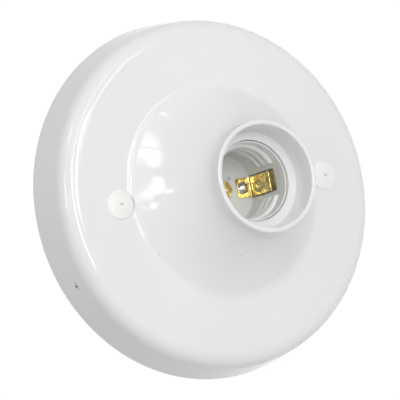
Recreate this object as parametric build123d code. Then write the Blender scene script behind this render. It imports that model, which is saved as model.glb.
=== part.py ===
from build123d import *
from math import cos, radians, sin, tan
import os

# Ceiling lampholder with an E27 socket. Millimetres, origin at the centre of the back rim,
# +Z out of the socket mouth, +X through the side contact and the right-hand screw cover.

# Canopy: flat face, drafted side wall, bell and collar in one moulding
BACK_R = 65.1
SIDE_DRAFT = 3.75
FACE_Z = 18.4
WALL = 2.2
RIM_ROUND = 6.5
FOOT_R = 37.45
FOOT_SLOPE = 44.0
FOOT_ROUND = 4.0
BELL_RISE = 24.5
BELL_STRAIGHT = 0.6
BELL_TURN = 0.4
COLLAR_R = 19.3
COLLAR_WALL = 1.6
COLLAR_DRAFT = 0.15
COLLAR_RISE = 28.9
COLLAR_ROUND = 0.6
LEDGE_RISE = 19.15
LEDGE_THICK = 2.0
RECESS_DRAFT = 0.5
NECK_GAP = 1.0
NECK_DEPTH = 1.0
RIB_COUNT = 8
RIB_THICK = 1.6
RIB_INNER_R = 25.0
RIB_BACK_Z = 9.5

# Screw positions and screw covers
SCREW_SPACING = 84.0
SCREW_HOLE_R = 2.25
SCREW_WELL_R = 4.05
SCREW_SEAT_Z = 3.6
BOSS_R = 5.9
BOSS_BACK_Z = 0.6
COVER_R = 4.95
COVER_EDGE = 0.5
COVER_DOME = 0.9
COVER_ROUND = 0.3
COVER_STEM = 4.5
COVER_STEM_WALL = 0.9
COVER_SLIT = 1.2
DIMPLE_R = 0.55
DIMPLE_DEPTH = 0.4
POCKET_GAP = 0.3

# Socket core: threaded cup with its floor, terminal bar and ears
BORE_R = 13.42
THREAD_DEPTH = 1.17
THREAD_ROOT = 0.3
PITCH = 3.629
THREAD_TURNS = 2.94
THREAD_FIRST_RISE = 3.87
RIDGE_HALF_WIDTH = 1.3
THREAD_GAP_HALF = 5.6
CORE_WALL = 2.58
SPIGOT_WALL = 0.48
LIP_SETBACK = 0.85
LIP_ROUND = 0.17
FLOOR_DROP = 3.55
FLOOR_THICK = 2.5
CHANNEL_SKIN = 1.4
CHANNEL_TOP_RISE = 12.6
BAR_LENGTH = 43.0
BAR_WIDTH = 11.0
BAR_THICK = 4.75
BARRIER_THICK = 1.5
BARRIER_DEPTH = 5.0
EAR_WIDTH = 7.4
EAR_SCREW_R = 19.6

# Contacts and terminals
STRIP = 0.6
STRIP_WIDTH = 7.0
STRIP_CORNER = 0.7
SIDE_TAB_START = 6.7
SPRING_GAP = 1.7
SIDE_RISE = 13.4
SIDE_LIP_GAP = 0.2
SIDE_LIP_LEAN = 86.0
SIDE_LIP_BEND = 0.3
CHANNEL_SIDE = 0.5
BEND_R = 0.5
CENTRE_PAD_R = 3.55
CENTRE_RISE = 1.6
CENTRE_TAB_END = 12.4
CENTRE_TAB_START = 6.5
CENTRE_RAMP_INSET = 0.2
CENTRE_STRIP_WIDTH = 6.0
RIVET_X = 9.1
RIVET_HEAD_R = 2.2
RIVET_HEAD = 1.1
RIVET_EDGE = 0.2
RIVET_SHANK_R = 1.4
RIVET_TAIL_R = 2.1
RIVET_TAIL = 0.8
PLATE = 1.0
PLATE_INNER_X = 5.6
PLATE_END_GAP = 0.6
PLATE_WIDTH = 9.4
TERMINAL_X = 16.6
TERMINAL_SCREW_R = 1.75
TERMINAL_SCREW_REACH = 5.4
TERMINAL_HEAD_R = 3.5
TERMINAL_HEAD = 2.0
WASHER = 0.8
WASHER_SIZE = 7.6
SLOT_WIDTH = 0.9
SLOT_DEPTH = 1.0

# Core fixing screws
CORE_SCREW_R = 1.15
CORE_SCREW_REACH = 9.5
CORE_SCREW_HEAD_R = 2.7
CORE_SCREW_HEAD = 1.9
CORE_SCREW_CROSS = 1.6
CORE_BOSS_R = 2.7
PILOT_SPARE = 1.0

# Clearances
TIGHT = 0.05
FIT = 0.1
LOOSE = 0.25

# Distance within which an edge counts as the one looked for
NEAR = 1e-3

# Levels and radii that follow from the sizes above
RIM_Z = FACE_Z + COLLAR_RISE
LEDGE_Z = FACE_Z + LEDGE_RISE
SHOULDER_Z = LEDGE_Z - LEDGE_THICK
LIP_Z = LEDGE_Z - LIP_SETBACK
FLOOR_Z = FACE_Z - FLOOR_DROP
FLOOR_BACK_Z = FLOOR_Z - FLOOR_THICK
BAR_BACK_Z = FLOOR_BACK_Z - BAR_THICK
PLATE_BACK_Z = BAR_BACK_Z - PLATE
SCREW_X = SCREW_SPACING / 2
CORNER_R = BACK_R - SIDE_DRAFT
COLLAR_MOUTH_R = COLLAR_R - COLLAR_WALL
LEDGE_R = COLLAR_MOUTH_R - RECESS_DRAFT
CREST_R = BORE_R - THREAD_DEPTH
CORE_R = BORE_R + CORE_WALL
NECK_R = CORE_R + NECK_GAP
CHANNEL_R = CORE_R - CHANNEL_SKIN
SIDE_FACE_X = CHANNEL_R - SPRING_GAP - STRIP
SPIGOT_R = BORE_R + SPIGOT_WALL
LEDGE_HOLE_R = SPIGOT_R + LOOSE

os.makedirs("parts", exist_ok=True)


def ring_edges(part, radius, z):
    """Circular edges of this radius about the main axis at this height."""
    found = part.edges().filter_by(GeomType.CIRCLE)
    return [
        e
        for e in found
        if abs(e.radius - radius) < NEAR
        and abs(e.arc_center.Z - z) < NEAR
        and abs(e.arc_center.X) + abs(e.arc_center.Y) < NEAR
    ]


def fold_edges(part, x, z):
    """Edges across a folded strip at this place in its side view."""
    found = part.edges().filter_by(Axis.Y)
    return [e for e in found if abs(e.center().X - x) < NEAR and abs(e.center().Z - z) < NEAR]


def profile(*edges):
    """Face in the XZ plane closed by these edges."""
    return make_face(Curve() + list(edges))


def line(*points):
    """Chain of straight edges through (radius or x, z) points."""
    return Polyline(*[(p[0], 0, p[1]) for p in points])


def curve(*points):
    """Bezier edge with (radius, z) control points."""
    return Bezier(*[(p[0], 0, p[1]) for p in points])


def arc(start, middle, end):
    """Circular edge through three (radius, z) points."""
    return ThreePointArc(*[(p[0], 0, p[1]) for p in (start, middle, end)])


def dome(radius, z_edge, rise):
    """Circular edge from the rim of a dome up to its top on the axis."""
    ball_r = (radius**2 + rise**2) / (2 * rise)
    half = radius / 2
    middle_z = z_edge + rise - ball_r + (ball_r**2 - half**2) ** 0.5
    return arc((radius, z_edge), (half, middle_z), (0, z_edge + rise))


def rod(radius, z_low, z_high, x=0.0, y=0.0):
    """Upright cylinder between two heights."""
    return Pos(x, y, (z_low + z_high) / 2) * Cylinder(radius, z_high - z_low)


def block(x_low, x_high, y_low, y_high, z_low, z_high):
    """Box between six planes."""
    centre = Pos((x_low + x_high) / 2, (y_low + y_high) / 2, (z_low + z_high) / 2)
    return centre * Box(x_high - x_low, y_high - y_low, z_high - z_low)


def save(part, name):
    """Write one node."""
    part.label = name
    export_step(part, f"parts/{name}.step")


# Bell: leaves the face at the foot slope and runs up into the collar
collar_low_r = COLLAR_R + COLLAR_DRAFT
bell_turn_z = FACE_Z + (FOOT_R - collar_low_r) * tan(radians(FOOT_SLOPE))
bell_top_z = FACE_Z + BELL_RISE
bell = [
    (FOOT_R, FACE_Z),
    (FOOT_R + BELL_STRAIGHT * (collar_low_r - FOOT_R), FACE_Z + BELL_STRAIGHT * (bell_turn_z - FACE_Z)),
    (collar_low_r, bell_turn_z + BELL_TURN * (bell_top_z - bell_turn_z)),
    (collar_low_r, bell_top_z),
]
outside = revolve(
    profile(
        line((0, 0), (BACK_R, 0), (CORNER_R, FACE_Z), (FOOT_R, FACE_Z)),
        curve(*bell),
        line((collar_low_r, bell_top_z), (COLLAR_R, RIM_Z), (0, RIM_Z), (0, 0)),
    ),
    Axis.Z,
)
outside = fillet(ring_edges(outside, CORNER_R, FACE_Z), RIM_ROUND)
outside = fillet(ring_edges(outside, FOOT_R, FACE_Z), FOOT_ROUND)

# Hollow behind the face: one wall inside the outer form, with a neck that takes the core
face_back_z = FACE_Z - WALL
foot_tan = tan(radians(FOOT_SLOPE))
neck_low_z = SHOULDER_Z - NECK_DEPTH
inner_foot_r = FOOT_R - (WALL / cos(radians(FOOT_SLOPE)) - WALL) / foot_tan
inner_top_r = inner_foot_r - (neck_low_z - face_back_z) / foot_tan
inner_back_r = BACK_R - WALL
inner_corner_r = CORNER_R + SIDE_DRAFT * WALL / FACE_Z - WALL
hollow = revolve(
    profile(
        line(
            (0, 0),
            (inner_back_r, 0),
            (inner_corner_r, face_back_z),
            (inner_foot_r, face_back_z),
            (inner_top_r, neck_low_z),
            (0, neck_low_z),
            (0, 0),
        )
    ),
    Axis.Z,
)
hollow = fillet(ring_edges(hollow, inner_corner_r, face_back_z), RIM_ROUND - WALL)
hollow += rod(NECK_R, 0, SHOULDER_Z)

# Recess in the collar's mouth, down to the ledge that frames the core
recess = revolve(
    profile(line((0, LEDGE_Z), (LEDGE_R, LEDGE_Z), (COLLAR_MOUTH_R, RIM_Z), (0, RIM_Z), (0, LEDGE_Z))),
    Axis.Z,
)
canopy = outside - hollow - recess - rod(LEDGE_HOLE_R, SHOULDER_Z, LEDGE_Z)
rim_edges = ring_edges(canopy, COLLAR_R, RIM_Z) + ring_edges(canopy, COLLAR_MOUTH_R, RIM_Z)
canopy = fillet(rim_edges, COLLAR_ROUND)

# Ribs behind the face, screw bosses and core bosses
for i in range(RIB_COUNT):
    angle = (i + 0.5) * 360 / RIB_COUNT
    rib = block(RIB_INNER_R, inner_corner_r, -RIB_THICK / 2, RIB_THICK / 2, RIB_BACK_Z, FACE_Z - WALL / 2)
    canopy += Rot(0, 0, angle) * rib
for side in (-1, 1):
    canopy += rod(BOSS_R, BOSS_BACK_Z, FACE_Z - WALL / 2, side * SCREW_X)
    boss = rod(CORE_BOSS_R, FLOOR_Z, SHOULDER_Z, 0, side * EAR_SCREW_R) & outside
    canopy += boss - rod(NECK_R, 0, RIM_Z)

# Screw wells, the pockets they make in the bell's foot, and the core screws' pilot holes
for side in (-1, 1):
    canopy -= rod(COVER_R + POCKET_GAP, FACE_Z, RIM_Z, side * SCREW_X)
    canopy -= rod(SCREW_WELL_R, SCREW_SEAT_Z, RIM_Z, side * SCREW_X)
    canopy -= rod(SCREW_HOLE_R, 0, SCREW_SEAT_Z, side * SCREW_X)
    pilot_top_z = FLOOR_BACK_Z + CORE_SCREW_REACH + PILOT_SPARE
    canopy -= rod(CORE_SCREW_R + TIGHT, FLOOR_Z, pilot_top_z, 0, side * EAR_SCREW_R)
save(canopy, "canopy")

# Socket core: cup with a lip that shows through the ledge
core = revolve(
    profile(
        line(
            (0, FLOOR_BACK_Z),
            (CORE_R, FLOOR_BACK_Z),
            (CORE_R, SHOULDER_Z),
            (SPIGOT_R, SHOULDER_Z),
            (SPIGOT_R, LIP_Z),
            (BORE_R, LIP_Z),
            (BORE_R, FLOOR_Z),
            (0, FLOOR_Z),
            (0, FLOOR_BACK_Z),
        )
    ),
    Axis.Z,
)
core = fillet(ring_edges(core, SPIGOT_R, LIP_Z) + ring_edges(core, BORE_R, LIP_Z), LIP_ROUND)

# Round-crested right-hand thread, broken off beside the contact channel
thread_z = FACE_Z + THREAD_FIRST_RISE
ridge_root_r = BORE_R + THREAD_ROOT
ridge_profile = profile(
    arc((ridge_root_r, -RIDGE_HALF_WIDTH), (CREST_R - FIT, 0), (ridge_root_r, RIDGE_HALF_WIDTH)),
    line((ridge_root_r, RIDGE_HALF_WIDTH), (ridge_root_r, -RIDGE_HALF_WIDTH)),
)
helix = Helix(PITCH, PITCH * THREAD_TURNS, ridge_root_r)
ridge = sweep(ridge_profile, path=helix, is_frenet=True)
ridge = Pos(0, 0, thread_z) * Rot(0, 0, 180) * ridge
ridge -= rod(CREST_R, 0, RIM_Z)
ridge -= block(0, CORE_R, -THREAD_GAP_HALF, THREAD_GAP_HALF, 0, RIM_Z)
core += ridge

# Channel for the side contact, terminal bar, barrier and ears
channel_half = STRIP_WIDTH / 2 + CHANNEL_SIDE
core -= block(CREST_R, CHANNEL_R, -channel_half, channel_half, FLOOR_Z, FACE_Z + CHANNEL_TOP_RISE)
bar_half = BAR_LENGTH / 2
core += block(-bar_half, bar_half, -BAR_WIDTH / 2, BAR_WIDTH / 2, BAR_BACK_Z, FLOOR_BACK_Z)
core += block(
    -BARRIER_THICK / 2,
    BARRIER_THICK / 2,
    -BAR_WIDTH / 2,
    BAR_WIDTH / 2,
    BAR_BACK_Z - BARRIER_DEPTH,
    BAR_BACK_Z,
)
core += block(-EAR_WIDTH / 2, EAR_WIDTH / 2, -EAR_SCREW_R, EAR_SCREW_R, FLOOR_BACK_Z, FLOOR_Z)
for side in (-1, 1):
    core += rod(EAR_WIDTH / 2, FLOOR_BACK_Z, FLOOR_Z, 0, side * EAR_SCREW_R)
for side in (-1, 1):
    core -= rod(CORE_SCREW_R + LOOSE, FLOOR_BACK_Z, FLOOR_Z, 0, side * EAR_SCREW_R)
    core -= rod(RIVET_SHANK_R + TIGHT, BAR_BACK_Z, FLOOR_Z, side * RIVET_X)
    core -= rod(TERMINAL_SCREW_R + LOOSE, BAR_BACK_Z, FLOOR_BACK_Z, side * TERMINAL_X)
save(core, "socket_core")

# Side contact: tab riveted to the floor, upright spring leg and turned-out lip
tab_top_z = FLOOR_Z + STRIP
leg_top_z = FLOOR_Z + SIDE_RISE
leg_back_x = SIDE_FACE_X + STRIP
lean = radians(SIDE_LIP_LEAN)
lip_reach = SPRING_GAP + STRIP - SIDE_LIP_GAP - STRIP * cos(lean)
lip_end = (SIDE_FACE_X + lip_reach, leg_top_z + lip_reach / tan(lean))
strip_side = profile(
    line(
        (SIDE_TAB_START, FLOOR_Z),
        (leg_back_x, FLOOR_Z),
        (leg_back_x, leg_top_z - STRIP * tan(lean / 2)),
        (lip_end[0] + STRIP * cos(lean), lip_end[1] - STRIP * sin(lean)),
        lip_end,
        (SIDE_FACE_X, leg_top_z),
        (SIDE_FACE_X, tab_top_z),
        (SIDE_TAB_START, tab_top_z),
        (SIDE_TAB_START, FLOOR_Z),
    )
)
side_contact = extrude(strip_side, STRIP_WIDTH / 2, dir=(0, 1, 0), both=True)
side_contact = fillet(fold_edges(side_contact, SIDE_FACE_X, tab_top_z), BEND_R)
side_contact = fillet(fold_edges(side_contact, leg_back_x, FLOOR_Z), BEND_R + STRIP)
side_contact = fillet(fold_edges(side_contact, SIDE_FACE_X, leg_top_z), SIDE_LIP_BEND)
upright = side_contact.edges().filter_by(Axis.Z)
side_contact = fillet([e for e in upright if e.center().X < SIDE_TAB_START + NEAR], STRIP_CORNER)
side_contact -= rod(RIVET_SHANK_R + TIGHT, FLOOR_Z, tab_top_z, RIVET_X)
save(side_contact, "side_contact")

# Centre contact: tab riveted to the floor, ramp and round pad on the axis
pad_low_z = FLOOR_Z + CENTRE_RISE
ramp_x = -CENTRE_TAB_START + CENTRE_RAMP_INSET
pad_x = -CENTRE_PAD_R + CENTRE_RAMP_INSET
strip_side = profile(
    line(
        (-CENTRE_TAB_END, FLOOR_Z),
        (ramp_x, FLOOR_Z),
        (pad_x, pad_low_z),
        (0, pad_low_z),
        (0, pad_low_z + STRIP),
        (pad_x - STRIP / 2, pad_low_z + STRIP),
        (ramp_x - STRIP / 2, tab_top_z),
        (-CENTRE_TAB_END, tab_top_z),
        (-CENTRE_TAB_END, FLOOR_Z),
    )
)
centre_contact = extrude(strip_side, CENTRE_STRIP_WIDTH / 2, dir=(0, 1, 0), both=True)
upright = centre_contact.edges().filter_by(Axis.Z)
centre_contact = fillet([e for e in upright if e.center().X < NEAR - CENTRE_TAB_END], STRIP_CORNER)
centre_contact += rod(CENTRE_PAD_R, pad_low_z, pad_low_z + STRIP)
centre_contact -= rod(RIVET_SHANK_R + TIGHT, FLOOR_Z, tab_top_z, -RIVET_X)
save(centre_contact, "centre_contact")

# Rivets, terminal plates, wire washers and terminal screws, one set for each contact
rivet = revolve(
    profile(
        line(
            (0, PLATE_BACK_Z - RIVET_TAIL),
            (RIVET_TAIL_R - RIVET_TAIL / 2, PLATE_BACK_Z - RIVET_TAIL),
            (RIVET_TAIL_R, PLATE_BACK_Z - RIVET_TAIL / 2),
            (RIVET_TAIL_R, PLATE_BACK_Z),
            (RIVET_SHANK_R, PLATE_BACK_Z),
            (RIVET_SHANK_R, tab_top_z),
            (RIVET_HEAD_R, tab_top_z),
            (RIVET_HEAD_R, tab_top_z + RIVET_EDGE),
        ),
        dome(RIVET_HEAD_R, tab_top_z + RIVET_EDGE, RIVET_HEAD - RIVET_EDGE),
        line((0, tab_top_z + RIVET_HEAD), (0, PLATE_BACK_Z - RIVET_TAIL)),
    ),
    Axis.Z,
)
plate_end_x = bar_half - PLATE_END_GAP
plate = block(PLATE_INNER_X, plate_end_x, -PLATE_WIDTH / 2, PLATE_WIDTH / 2, PLATE_BACK_Z, BAR_BACK_Z)
plate = fillet(plate.edges().filter_by(Axis.Z), STRIP_CORNER)
plate -= rod(RIVET_SHANK_R + TIGHT, PLATE_BACK_Z, BAR_BACK_Z, RIVET_X)
plate -= rod(TERMINAL_SCREW_R + TIGHT, PLATE_BACK_Z, BAR_BACK_Z, TERMINAL_X)
washer_back_z = PLATE_BACK_Z - WASHER
washer_half = WASHER_SIZE / 2
washer = block(
    TERMINAL_X - washer_half,
    TERMINAL_X + washer_half,
    -washer_half,
    washer_half,
    washer_back_z,
    PLATE_BACK_Z,
)
washer = fillet(washer.edges().filter_by(Axis.Z), STRIP_CORNER)
washer -= rod(TERMINAL_SCREW_R + LOOSE, washer_back_z, PLATE_BACK_Z, TERMINAL_X)
head_back_z = washer_back_z - TERMINAL_HEAD
screw = rod(TERMINAL_HEAD_R, head_back_z, washer_back_z)
screw = fillet(ring_edges(screw, TERMINAL_HEAD_R, head_back_z), TERMINAL_HEAD / 2)
screw += rod(TERMINAL_SCREW_R, washer_back_z, washer_back_z + TERMINAL_SCREW_REACH)
slot_half = SLOT_WIDTH / 2
slot_top_z = head_back_z + SLOT_DEPTH
screw -= block(-TERMINAL_HEAD_R, TERMINAL_HEAD_R, -slot_half, slot_half, 0, slot_top_z)
for name, turn, side in (("side", 0, 1), ("centre", 180, -1)):
    save(Pos(side * RIVET_X, 0, 0) * rivet, f"{name}_contact_rivet")
    save(Rot(0, 0, turn) * plate, f"{name}_terminal_plate")
    save(Rot(0, 0, turn) * washer, f"{name}_wire_washer")
    save(Pos(side * TERMINAL_X, 0, 0) * Rot(0, 0, 90) * screw, f"{name}_terminal_screw")

# Screws that hold the core's ears to the canopy's bosses
core_head_z = FLOOR_BACK_Z - CORE_SCREW_HEAD
core_screw = rod(CORE_SCREW_HEAD_R, core_head_z, FLOOR_BACK_Z)
core_screw = fillet(ring_edges(core_screw, CORE_SCREW_HEAD_R, core_head_z), CORE_SCREW_HEAD / 2)
core_screw += rod(CORE_SCREW_R, FLOOR_BACK_Z, FLOOR_BACK_Z + CORE_SCREW_REACH)
cross_top_z = core_head_z + SLOT_DEPTH
for turn in (0, 90):
    cut = block(-CORE_SCREW_CROSS, CORE_SCREW_CROSS, -slot_half, slot_half, 0, cross_top_z)
    core_screw -= Rot(0, 0, turn) * cut
for name, side in (("upper", 1), ("lower", -1)):
    save(Pos(0, side * EAR_SCREW_R, 0) * core_screw, f"{name}_core_screw")

# Screw covers: domed head with a dimple on a split stem
stem_r = SCREW_WELL_R - FIT
cover_top_z = FACE_Z + COVER_EDGE + COVER_DOME
cover = revolve(
    profile(
        line(
            (0, FACE_Z),
            (stem_r - COVER_STEM_WALL, FACE_Z),
            (stem_r - COVER_STEM_WALL, FACE_Z - COVER_STEM),
            (stem_r, FACE_Z - COVER_STEM),
            (stem_r, FACE_Z),
            (COVER_R, FACE_Z),
            (COVER_R, FACE_Z + COVER_EDGE),
        ),
        dome(COVER_R, FACE_Z + COVER_EDGE, COVER_DOME),
        line((0, cover_top_z), (0, FACE_Z)),
    ),
    Axis.Z,
)
cover = fillet(ring_edges(cover, COVER_R, FACE_Z + COVER_EDGE), COVER_ROUND)
cover -= rod(DIMPLE_R, cover_top_z - DIMPLE_DEPTH, cover_top_z)
cover -= block(-COVER_R, COVER_R, -COVER_SLIT / 2, COVER_SLIT / 2, 0, FACE_Z - COVER_EDGE)
for name, side in (("left", -1), ("right", 1)):
    save(Pos(side * SCREW_X, 0, 0) * cover, f"{name}_screw_cover")
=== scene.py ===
# %% [markdown]
# A ceiling lampholder: a round white canopy moulded in one piece with a bell and a collar, and a
# threaded socket core set in the collar's mouth. Two screw covers sit beside the bell, and brass
# contacts stand in the socket. The solids come from the CAD frame and already have the right
# shapes, so this lesson first sets up the picture and then gives every piece the finish of the
# material that it is really made of.

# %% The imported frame
from math import atan2, cos, pi, radians, sin

import bpy
from mathutils import Matrix, Quaternion, Vector

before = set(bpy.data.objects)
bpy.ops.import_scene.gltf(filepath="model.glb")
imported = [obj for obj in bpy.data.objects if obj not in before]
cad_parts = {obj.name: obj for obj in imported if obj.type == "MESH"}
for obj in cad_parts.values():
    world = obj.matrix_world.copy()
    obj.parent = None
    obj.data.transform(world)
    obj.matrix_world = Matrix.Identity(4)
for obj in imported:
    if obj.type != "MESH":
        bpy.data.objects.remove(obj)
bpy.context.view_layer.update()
MM = 0.001
print("nodes", sorted(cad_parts))

# %% [markdown]
# The camera stands above the lampholder's left side and looks down into the socket. A long lens
# keeps the near and far sides of the canopy almost the same size, as in the photograph. A tracking
# constraint could aim it, but it would choose the roll as well. Here the camera gets its own three
# directions, so the picture is turned exactly as it was taken.

# %% Camera
CAMERA_PLACE = Vector((-290.62, -44.22, 496.59)) * MM
CAMERA_FORWARD = Vector((0.50342, 0.07546, -0.86074)).normalized()
CAMERA_UP = Vector((0.12521, 0.97929, 0.15909)).normalized()
camera_data = bpy.data.cameras.new("camera")
camera_data.lens = 144
camera_data.sensor_width = 36
camera = bpy.data.objects.new("camera", camera_data)
camera_right = CAMERA_FORWARD.cross(CAMERA_UP)
camera_turn = Matrix((camera_right, CAMERA_UP, -CAMERA_FORWARD)).transposed().to_4x4()
camera.matrix_world = Matrix.Translation(CAMERA_PLACE) @ camera_turn
bpy.context.scene.collection.objects.link(camera)
bpy.context.scene.camera = camera
bpy.context.scene.view_settings.view_transform = "Standard"
print("camera at", [round(v, 3) for v in CAMERA_PLACE])

# %% [markdown]
# Every finish below is a small tree of shader nodes. It could be wired by hand in the shader
# editor, but a list of nodes is easier to read and to change. One function turns a screen colour
# into the linear numbers that shaders work in, and one adds a node, sets its values and links its
# inputs. The others prepare what several trees begin with.


# %% Node and colour helpers
def colour(code):
    """Linear RGBA of an sRGB hex colour."""
    parts = [int(code[i : i + 2], 16) / 255 for i in (1, 3, 5)]
    return [p / 12.92 if p <= 0.04045 else ((p + 0.055) / 1.055) ** 2.4 for p in parts] + [1.0]


def add(tree, kind, links=(), stops=(), **settings):
    """A node: (input, node, output) links, (place, hex) ramp stops, settings with in_ for sockets."""
    node = tree.nodes.new("ShaderNode" + kind)
    for key, value in settings.items():
        if key.startswith("in_"):
            name = key[3:].replace("_", " ")
            node.inputs[int(name) if name.isdigit() else name].default_value = value
        else:
            setattr(node, key, value)
    for index, (position, code) in enumerate(stops):
        node.color_ramp.elements[index].position = position
        node.color_ramp.elements[index].color = colour(code)
    for name, source, output in links:
        tree.links.new(source.outputs[output], node.inputs[name])
    return node


def blank(name):
    """A new material and its emptied node tree."""
    material = bpy.data.materials.new(name)
    material.use_nodes = True
    material.node_tree.nodes.clear()
    return material, material.node_tree


def millimetres(tree):
    """The piece's own place in millimetres, so that a pattern's scale is one over its real size."""
    place = add(tree, "TexCoord")
    return add(tree, "VectorMath", [(0, place, "Object")], operation="SCALE", in_Scale=1 / MM)


def seen_share(tree):
    """One for what the camera, a mirror or glass sees, nought for light on its way by soft bounces."""
    rays = add(tree, "LightPath")
    looks = [(0, rays, "Is Camera Ray"), (1, rays, "Is Glossy Ray")]
    mirrored = add(tree, "Math", looks, operation="MAXIMUM")
    through = [(0, mirrored, 0), (1, rays, "Is Transmission Ray")]
    return add(tree, "Math", through, operation="MAXIMUM")


print("mid grey reads", [round(v, 3) for v in colour("#808080")])

# %% [markdown]
# The photograph stands on pure white. A sheet of pale paper lies under the canopy, and what the
# camera or a mirror-like surface sees of it is lit from within, so it reaches white without more
# light on the object. A share of plain diffuse is left in, which keeps the soft shadow under the
# rim. Light that bounces diffusely sees a greyer sheet, because a fully white one would throw so
# much light up that the side wall would look as bright as the face.

# %% Paper floor
FLOOR_SIZE = 4
PAPER_GLOW = 0.86
paper, tree = blank("white_paper_sweep")
bounce = add(tree, "BsdfDiffuse", in_Color=colour("#6E6E64"))
glow = add(tree, "Emission", in_Color=colour("#FFFFFF"), in_Strength=PAPER_GLOW)
shaded = add(tree, "BsdfDiffuse", in_Color=colour("#7A7A7A"))
bright = add(tree, "AddShader", [(0, glow, 0), (1, shaded, 0)])
sheet = add(tree, "MixShader", [(0, seen_share(tree), 0), (1, bounce, 0), (2, bright, 0)])
add(tree, "OutputMaterial", [("Surface", sheet, 0)])
bpy.ops.mesh.primitive_plane_add(size=FLOOR_SIZE)
floor = bpy.context.object
floor.name = "paper_floor"
floor.data.materials.append(paper)
print("floor", floor.name)

# %% [markdown]
# The room gives the soft light from all round. A plain grey world would light every side alike, so
# this one is graded. It is brighter in a band above the horizon than overhead, where the lamps do
# the work, and it leans a little to the right and to the front, as a room with one bright side
# does. Camera, mirror and glass rays see plain white instead.

# %% Room light
ROOM_HORIZON = 1.55
ROOM_ZENITH = 0.42
# How far up the band of light fades, as the height of a direction one unit long
ROOM_BAND = 0.35
# The share of light gained per unit towards x, y and z
ROOM_TILT = (0.21, -0.22, 0.0)
room = bpy.data.worlds.new("white_room")
bpy.context.scene.world = room
room.use_nodes = True
tree = room.node_tree
tree.nodes.clear()
way = add(tree, "TexCoord")
split = add(tree, "SeparateXYZ", [(0, way, "Generated")])
height = add(
    tree,
    "MapRange",
    [("Value", split, "Z")],
    in_From_Min=0.0,
    in_From_Max=ROOM_BAND,
    in_To_Min=ROOM_HORIZON,
    in_To_Max=ROOM_ZENITH,
)
side = add(tree, "VectorMath", [(0, way, "Generated")], operation="DOT_PRODUCT", in_1=ROOM_TILT)
graded = [(0, height, 0), (1, side, "Value"), (2, height, 0)]
level = add(tree, "Math", graded, operation="MULTIPLY_ADD")
walls = add(tree, "Background", [("Strength", level, 0)], in_Color=colour("#FFFFFF"))
white = add(tree, "Background", in_Color=colour("#FFFFFF"), in_Strength=1.0)
choice = add(tree, "MixShader", [(0, seen_share(tree), 0), (1, walls, 0), (2, white, 0)])
add(tree, "OutputWorld", [("Surface", choice, 0)])
print("room", ROOM_HORIZON, "at the horizon,", ROOM_ZENITH, "overhead")

# %% [markdown]
# Gloss shows only what it mirrors. The long lines on the rim and along the bell's foot are ceiling
# strips, and the patches on the bell are the panes of a low window. A picture of a room wrapped
# round the scene could give them all at once, but rectangles can be moved one by one. A lamp's
# level is its brightness to the eye, so a larger lamp of the same level mirrors no brighter.

# %% Lamp helpers
STRIP_HEIGHT = 1.0
PANE_DISTANCE = 1.0
# Every pane faces a place just above the canopy's flat face
PANE_AIM = Vector((0, 0, 0.02))


def softbox(name, place, width, height, level, turn):
    """A rectangular lamp of this brightness to the eye."""
    lamp = bpy.data.lights.new(name, "AREA")
    lamp.shape = "RECTANGLE"
    lamp.size = width
    lamp.size_y = height
    lamp.energy = level * width * height * pi
    thing = bpy.data.objects.new(name, lamp)
    thing.location = place
    thing.rotation_euler = turn
    bpy.context.scene.collection.objects.link(thing)


def ceiling_strip(name, start, end, width, level):
    """A strip that hangs flat above the floor, from one point of the plan to another."""
    run = Vector(end) - Vector(start)
    middle = (Vector(start) + Vector(end)) / 2
    turn = (0, 0, atan2(run.y, run.x))
    softbox(name, (middle.x, middle.y, STRIP_HEIGHT), run.length, width, level, turn)


def window_pane(name, compass, rise, size, level, roll=0):
    """An upright pane of this width and height, by its compass angle and its angle above the floor."""
    flat = cos(radians(rise))
    way = Vector((cos(radians(compass)) * flat, sin(radians(compass)) * flat, sin(radians(rise))))
    facing = (-way).to_track_quat("-Z", "Y") @ Quaternion((0, 0, 1), radians(roll))
    softbox(name, PANE_AIM + way * PANE_DISTANCE, *size, level, facing.to_euler())


print("strips hang", STRIP_HEIGHT, "m up and panes stand", PANE_DISTANCE, "m away")

# %% [markdown]
# Each lamp could be pushed about until its mirror image falls right. It is quicker to follow the
# camera's line of sight to a highlight, turn it at the moulding's slope and put the lamp where it
# goes. The side strip is one run in three pieces, since it bends and fades at its far end. The
# panes are cut up by glazing bars, with a dimmer veil round the upper ones. The front fill and the
# left softbox are large and weak, and only lift the shadows.

# %% Strips and panes
ceiling_strip("overhead_strip", start=(-0.05, 0.07), end=(0.10, 0.42), width=0.26, level=5.6)
ceiling_strip("overhead_strip_end", start=(0.25, 0.20), end=(0.42, 0.60), width=0.10, level=3.2)
ceiling_strip("side_strip", start=(-0.50, 0.45), end=(-0.33, -0.24), width=0.09, level=13.5)
ceiling_strip("side_strip_bend", start=(-0.46, 0.46), end=(-0.12, 0.72), width=0.06, level=7.0)
ceiling_strip("side_strip_end", start=(-0.12, 0.72), end=(0.03, 1.00), width=0.08, level=6.0)
ceiling_strip("front_fill", start=(-0.50, -0.40), end=(0.20, -0.60), width=0.40, level=0.32)
window_pane("left_softbox", compass=160, rise=48, size=(1.20, 1.00), level=0.20)
window_pane("upper_pane", compass=137.0, rise=18.9, size=(0.25, 0.056), level=7.0, roll=9)
window_pane("upper_pane_veil", compass=131.5, rise=18.4, size=(0.36, 0.07), level=1.0, roll=9)
window_pane("upper_pane_dim", compass=120.6, rise=16.6, size=(0.22, 0.044), level=3.6, roll=7)
window_pane("lower_pane_top", compass=159.0, rise=21.0, size=(0.12, 0.040), level=9.0, roll=7)
window_pane("lower_pane", compass=166.8, rise=22.4, size=(0.14, 0.070), level=9.0, roll=7)
window_pane("lower_pane_foot", compass=171.4, rise=24.6, size=(0.12, 0.019), level=9.5, roll=8)
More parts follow.
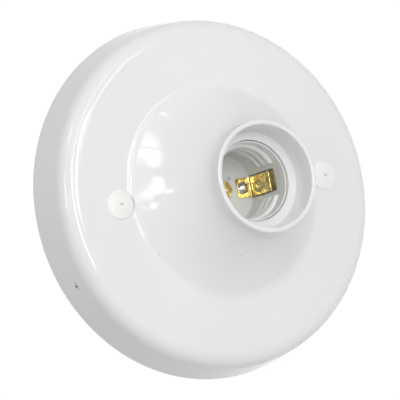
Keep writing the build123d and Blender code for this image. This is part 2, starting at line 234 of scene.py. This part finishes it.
window_pane("lower_pane_finger", compass=171.3, rise=18.9, size=(0.035, 0.045), level=12.0, roll=5)
window_pane("low_spot", compass=181.5, rise=24.8, size=(0.07, 0.022), level=12.0, roll=5)
window_pane("high_spot", compass=97.0, rise=9.7, size=(0.040, 0.036), level=9.0, roll=5)

# %% [markdown]
# The canopy is ABS from a polished mould: white pigment all through, a thin even gloss, and a skin
# that sinks a little as it cools, so mirrored edges waver. The gloss comes from a low roughness,
# the wavering from a very shallow bump with slow waves, and the colour drifts by a hair over a few
# centimetres, as large mouldings do. The waves could be modelled in the mesh, but they are only
# hundredths of a millimetre deep, which a bump shows as well.

# %% White ABS, moulded glossy
SINK_WAVE_MM = 11.0
SINK_DEPTH_MM = 0.018
PEEL_WAVE_MM = 1.6
PEEL_DEPTH_MM = 0.0008
TINT_DRIFT_MM = 35.0
# Polished steel leaves an even white with a sharp mirror in it, a touch softer where it was wiped
canopy_white, tree = blank("white_abs_moulded_glossy")
scaled = millimetres(tree)
sink = add(tree, "TexNoise", [("Vector", scaled, 0)], in_Scale=1 / SINK_WAVE_MM, in_Detail=1.0)
peel = add(tree, "TexNoise", [("Vector", scaled, 0)], in_Scale=1 / PEEL_WAVE_MM, in_Detail=1.0)
waves = add(tree, "Bump", [("Height", sink, 0)], in_Strength=1.0, in_Distance=SINK_DEPTH_MM * MM)
over_waves = [("Height", peel, 0), ("Normal", waves, 0)]
skin = add(tree, "Bump", over_waves, in_Strength=1.0, in_Distance=PEEL_DEPTH_MM * MM)
drift = add(tree, "TexNoise", [("Vector", scaled, 0)], in_Scale=1 / TINT_DRIFT_MM, in_Detail=2.0)
tint = add(tree, "ValToRGB", [(0, drift, 0)], stops=[(0.3, "#E6E6E8"), (0.7, "#EAEAEA")])
wiped = add(tree, "MapRange", [("Value", drift, 0)], in_To_Min=0.075, in_To_Max=0.10)
print("gloss waves", SINK_WAVE_MM, "mm apart")

# %% [markdown]
# The canopy has been handled: it has a few specks of grime, and one scuff on the lower left of the
# wall. They could be painted on an image, but as places on the object itself they need no
# unwrapping and stay put from every side. Noise pulls at their outlines, so that none is a neat
# disc.

# %% Specks of grime on the canopy
FRAY_MM = 0.625
SPECK_CORE = 0.4
SPECK_EDGE = 1.2
# Place x, y, z and radius in mm, then how dark it is; the last four together are the scuff
SPECKS = (
    (-31.2, -18.8, 19.4, 0.32, 0.35),
    (-6.9, -24.3, 31.9, 0.28, 0.60),
    (-27.4, 31.9, 18.4, 0.30, 0.15),
    (-31.1, 45.7, 18.4, 0.30, 0.32),
    (-30.5, -9.8, 23.9, 0.35, 0.14),
    (-26.7, -17.6, 23.9, 0.35, 0.14),
    (-21.8, -15.4, 30.1, 0.30, 0.20),
    (-21.0, -58.1, 14.9, 0.40, 0.18),
    (-37.4, -43.1, 18.3, 0.35, 0.08),
    (-1.0, -52.4, 18.4, 0.35, 0.10),
    (-41.9, -7.8, 18.4, 0.30, 0.10),
    (-58.6, -24.3, 8.1, 0.75, 0.85),
    (-59.0, -23.2, 8.6, 0.60, 0.40),
    (-58.2, -25.2, 8.3, 0.55, 0.40),
    (-59.1, -23.4, 10.0, 0.45, 0.25),
)
ragged = add(tree, "TexNoise", [("Vector", scaled, 0)], in_Scale=1 / FRAY_MM, in_Detail=3.0)
offset = add(tree, "VectorMath", [(0, ragged, "Color")], operation="SUBTRACT", in_1=(0.5, 0.5, 0.5))
frayed = add(tree, "VectorMath", [(0, offset, 0), (1, scaled, 0)], operation="ADD")
grime = None
for x, y, z, radius, darkness in SPECKS:
    away = add(tree, "VectorMath", [(0, frayed, 0)], operation="DISTANCE", in_1=(x, y, z))
    spot = add(
        tree,
        "MapRange",
        [("Value", away, "Value")],
        interpolation_type="SMOOTHSTEP",
        in_From_Min=radius * SPECK_CORE,
        in_From_Max=radius * SPECK_EDGE,
        in_To_Min=darkness,
        in_To_Max=0.0,
    )
    if grime is not None:
        spot = add(tree, "Math", [(0, grime, 0), (1, spot, 0)], operation="MAXIMUM")
    grime = spot
soiled = add(tree, "MixRGB", [("Fac", grime, 0), (1, tint, 0)], in_2=colour("#4A463E"))
inputs = [("Base Color", soiled, 0), ("Roughness", wiped, 0), ("Normal", skin, 0)]
plastic = add(tree, "BsdfPrincipled", inputs, in_IOR=1.52)
add(tree, "OutputMaterial", [("Surface", plastic, 0)])
print("white ABS with", len(SPECKS), "specks")

# %% [markdown]
# The socket core is a second moulding, in PBT, a harder plastic that stands the lamp's heat. It is
# a touch warmer and less glossy than the canopy, with a fine matt grain left by the spark-cut
# thread mould. The grain could be left to the roughness alone, but a bump also breaks up the
# mirrored edges on the thread. One smudge of grime lies on its floor, beside the side contact.

# %% Heat-proof core plastic
# Real spark grain is about a tenth of a millimetre, so it is drawn five times as coarse to show
GRAIN_MM = 0.5
GRAIN_DEPTH_MM = 0.004
CORE_DRIFT_MM = 6.0
SMUDGE_MM = (4.4, 4.0, 14.85)
# How far the smudge reaches in mm, once the distance is multiplied by the grain, which frays its edge
SMUDGE_CORE = 0.15
SMUDGE_EDGE = 0.55
SMUDGE_DARKNESS = 0.45
# A spark-cut mould gives a white without sharp mirrors, in which light spreads softly
core_white, tree = blank("white_pbt_moulded_satin")
scaled = millimetres(tree)
grain = add(tree, "TexNoise", [("Vector", scaled, 0)], in_Scale=1 / GRAIN_MM, in_Detail=2.0)
drift = add(tree, "TexNoise", [("Vector", scaled, 0)], in_Scale=1 / CORE_DRIFT_MM, in_Detail=2.0)
tint = add(tree, "ValToRGB", [(0, drift, 0)], stops=[(0.3, "#E4E5E3"), (0.7, "#EAEBEA")])
away = add(tree, "VectorMath", [(0, scaled, 0)], operation="DISTANCE", in_1=SMUDGE_MM)
ragged = add(tree, "Math", [(0, grain, 0), (1, away, "Value")], operation="MULTIPLY")
smudge = add(
    tree,
    "MapRange",
    [("Value", ragged, 0)],
    in_From_Min=SMUDGE_CORE,
    in_From_Max=SMUDGE_EDGE,
    in_To_Min=SMUDGE_DARKNESS,
    in_To_Max=0.0,
)
soiled = add(tree, "MixRGB", [("Fac", smudge, 0), (1, tint, 0)], in_2=colour("#6A665E"))
skin = add(tree, "Bump", [("Height", grain, 0)], in_Strength=1.0, in_Distance=GRAIN_DEPTH_MM * MM)
inputs = [("Base Color", soiled, 0), ("Normal", skin, 0)]
plastic = add(tree, "BsdfPrincipled", inputs, in_Roughness=0.28, in_IOR=1.55)
add(tree, "OutputMaterial", [("Surface", plastic, 0)])
print("core", core_white.name)

# %% [markdown]
# The screw covers are small polythene buttons. Polythene is softer and more milky than ABS, so the
# covers look a little warmer and their gloss is spread out to a sheen. Light scattered under the
# surface could be traced, but on a button of this size it shows only as that warmer tint. The gate
# dimple gets a darker ring of painted shade, which stands in for the shading of that small hollow.

# %% Polythene covers
COVER_WAVE_MM = 3.0
COVER_DEPTH_MM = 0.01
DIMPLE_MM = (42.0, 0.0, 19.5)
# Reach and depth of the painted shade in the gate dimple, in mm from its middle
DIMPLE_SHADE_INNER_MM = 0.45
DIMPLE_SHADE_OUTER_MM = 0.75
DIMPLE_SHADE_DARKNESS = 0.30
# Soft polythene from a plain mould: a milky white whose highlights spread into a sheen
cover_white, tree = blank("white_polythene_moulded_matt")
scaled = millimetres(tree)
drift = add(tree, "TexNoise", [("Vector", scaled, 0)], in_Scale=1 / COVER_WAVE_MM, in_Detail=2.0)
tint = add(tree, "ValToRGB", [(0, drift, 0)], stops=[(0.3, "#ECEDEA"), (0.7, "#F1F2EF")])
# Taking the sign off x folds the left cover onto the right one, so one place serves both dimples
either = add(tree, "VectorMath", [(0, scaled, 0)], operation="ABSOLUTE")
away = add(tree, "VectorMath", [(0, either, 0)], operation="DISTANCE", in_1=DIMPLE_MM)
# Painted shade: a darker ring in each gate dimple, where the hollow falls into shade
dimple_shade = add(
    tree,
    "MapRange",
    [("Value", away, "Value")],
    in_From_Min=DIMPLE_SHADE_INNER_MM,
    in_From_Max=DIMPLE_SHADE_OUTER_MM,
    in_To_Min=DIMPLE_SHADE_DARKNESS,
    in_To_Max=0.0,
)
# The painted dimple shade darkens the cover's colour towards #6E6A62
soiled = add(tree, "MixRGB", [("Fac", dimple_shade, 0), (1, tint, 0)], in_2=colour("#6E6A62"))
skin = add(tree, "Bump", [("Height", drift, 0)], in_Strength=1.0, in_Distance=COVER_DEPTH_MM * MM)
inputs = [("Base Color", soiled, 0), ("Normal", skin, 0)]
plastic = add(tree, "BsdfPrincipled", inputs, in_Roughness=0.42, in_IOR=1.51)
add(tree, "OutputMaterial", [("Surface", plastic, 0)])
print("covers", cover_white.name)

# %% [markdown]
# The contacts are strips of spring brass, rolled bright and then folded in a press. Rolling leaves
# fine lines along the strip, folding leaves it slightly wavy, and handling leaves tarnish in
# blotches. A photographed metal could be wrapped round the strips, but noise stretched along them
# follows every fold without unwrapping.

# %% Rolled brass
# Real rolling lines are about 0.05 mm apart, too fine to show, so they are drawn four times coarser
ROLL_LINE_MM = 0.2
ROLL_DEPTH_MM = 0.004
ROLL_STRETCH = (0.06, 1.0, 0.06)
BUCKLE_MM = 2.6
BUCKLE_DEPTH_MM = 0.20
TARNISH_MM = 1.8
# Bright rolled brass mirrors the socket in yellow, and its tarnish dulls that to olive in places
brass, tree = blank("spring_brass_rolled_bright")
scaled = millimetres(tree)
along = add(tree, "VectorMath", [(0, scaled, 0)], operation="MULTIPLY", in_1=ROLL_STRETCH)
lines = add(tree, "TexNoise", [("Vector", along, 0)], in_Scale=1 / ROLL_LINE_MM, in_Detail=2.0)
buckle = add(tree, "TexNoise", [("Vector", scaled, 0)], in_Scale=1 / BUCKLE_MM, in_Detail=1.0)
blotch = add(tree, "TexNoise", [("Vector", scaled, 0)], in_Scale=1 / TARNISH_MM, in_Detail=3.0)
waves = add(tree, "Bump", [("Height", buckle, 0)], in_Strength=1.0, in_Distance=BUCKLE_DEPTH_MM * MM)
over_waves = [("Height", lines, 0), ("Normal", waves, 0)]
skin = add(tree, "Bump", over_waves, in_Strength=1.0, in_Distance=ROLL_DEPTH_MM * MM)
tint = add(tree, "ValToRGB", [(0, blotch, 0)], stops=[(0.35, "#A08E56"), (0.6, "#EEDC9E")])
dulled = add(
    tree,
    "MapRange",
    [("Value", blotch, 0)],
    in_From_Min=0.3,
    in_From_Max=0.7,
    in_To_Min=0.36,
    in_To_Max=0.15,
)
inputs = [("Base Color", tint, 0), ("Roughness", dulled, 0), ("Normal", skin, 0)]
metal = add(tree, "BsdfPrincipled", inputs, in_Metallic=1.0)
add(tree, "OutputMaterial", [("Surface", metal, 0)])
print("brass", brass.name)

# %% [markdown]
# The rivets are nickel-plated steel, upset in the press: bright, faintly warm, and dented by the
# setting punch. The dents could be cut into the mesh, but on a head three millimetres wide a bump
# gives the same broken highlights.

# %% Nickel plate
PUNCH_MARK_MM = 0.7
PUNCH_DEPTH_MM = 0.22
# Bright plate over punched steel breaks one reflection up into several small glints
nickel, tree = blank("steel_nickel_plated")
scaled = millimetres(tree)
marks = add(tree, "TexNoise", [("Vector", scaled, 0)], in_Scale=1 / PUNCH_MARK_MM, in_Detail=2.0)
skin = add(tree, "Bump", [("Height", marks, 0)], in_Strength=1.0, in_Distance=PUNCH_DEPTH_MM * MM)
worn = add(tree, "MapRange", [("Value", marks, 0)], in_To_Min=0.1, in_To_Max=0.25)
tint = add(tree, "ValToRGB", [(0, marks, 0)], stops=[(0.0, "#B0ADA8"), (1.0, "#ECEAE6")])
inputs = [("Base Color", tint, 0), ("Roughness", worn, 0), ("Normal", skin, 0)]
metal = add(tree, "BsdfPrincipled", inputs, in_Metallic=1.0)
add(tree, "OutputMaterial", [("Surface", metal, 0)])
print("rivets", nickel.name)

# %% [markdown]
# The screws and washers behind the socket are zinc-plated from a barrel, which leaves them duller,
# bluer and mottled. They could share the rivets' finish, but side by side the two platings are
# easy to tell apart.

# %% Zinc plate
MOTTLE_MM = 1.2
MOTTLE_DEPTH_MM = 0.02
# Barrel plating tumbles the pieces together, so the grey is cloudy and mirrors nothing sharply
zinc, tree = blank("steel_zinc_plated")
scaled = millimetres(tree)
mottle = add(tree, "TexNoise", [("Vector", scaled, 0)], in_Scale=1 / MOTTLE_MM, in_Detail=4.0)
skin = add(tree, "Bump", [("Height", mottle, 0)], in_Strength=1.0, in_Distance=MOTTLE_DEPTH_MM * MM)
worn = add(tree, "MapRange", [("Value", mottle, 0)], in_To_Min=0.25, in_To_Max=0.45)
tint = add(tree, "ValToRGB", [(0, mottle, 0)], stops=[(0.3, "#9EA2A6"), (0.7, "#C3C6C6")])
inputs = [("Base Color", tint, 0), ("Roughness", worn, 0), ("Normal", skin, 0)]
metal = add(tree, "BsdfPrincipled", inputs, in_Metallic=1.0)
add(tree, "OutputMaterial", [("Surface", metal, 0)])
print("screws and washers", zinc.name)

# %% [markdown]
# Each CAD piece takes the finish of what it is made of. The pieces could be modelled again here,
# but their shapes are right already, so only the material slot of each mesh is filled.

# %% Finishes on the pieces
# Pieces that aren't named here are screws and washers
FINISHES = {
    "canopy": canopy_white,
    "socket_core": core_white,
    "left_screw_cover": cover_white,
    "right_screw_cover": cover_white,
    "side_contact": brass,
    "centre_contact": brass,
    "side_terminal_plate": brass,
    "centre_terminal_plate": brass,
    "side_contact_rivet": nickel,
    "centre_contact_rivet": nickel,
}
for name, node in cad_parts.items():
    node.data.materials.clear()
    node.data.materials.append(FINISHES.get(name, zinc))
print("finished", len(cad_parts), "pieces")
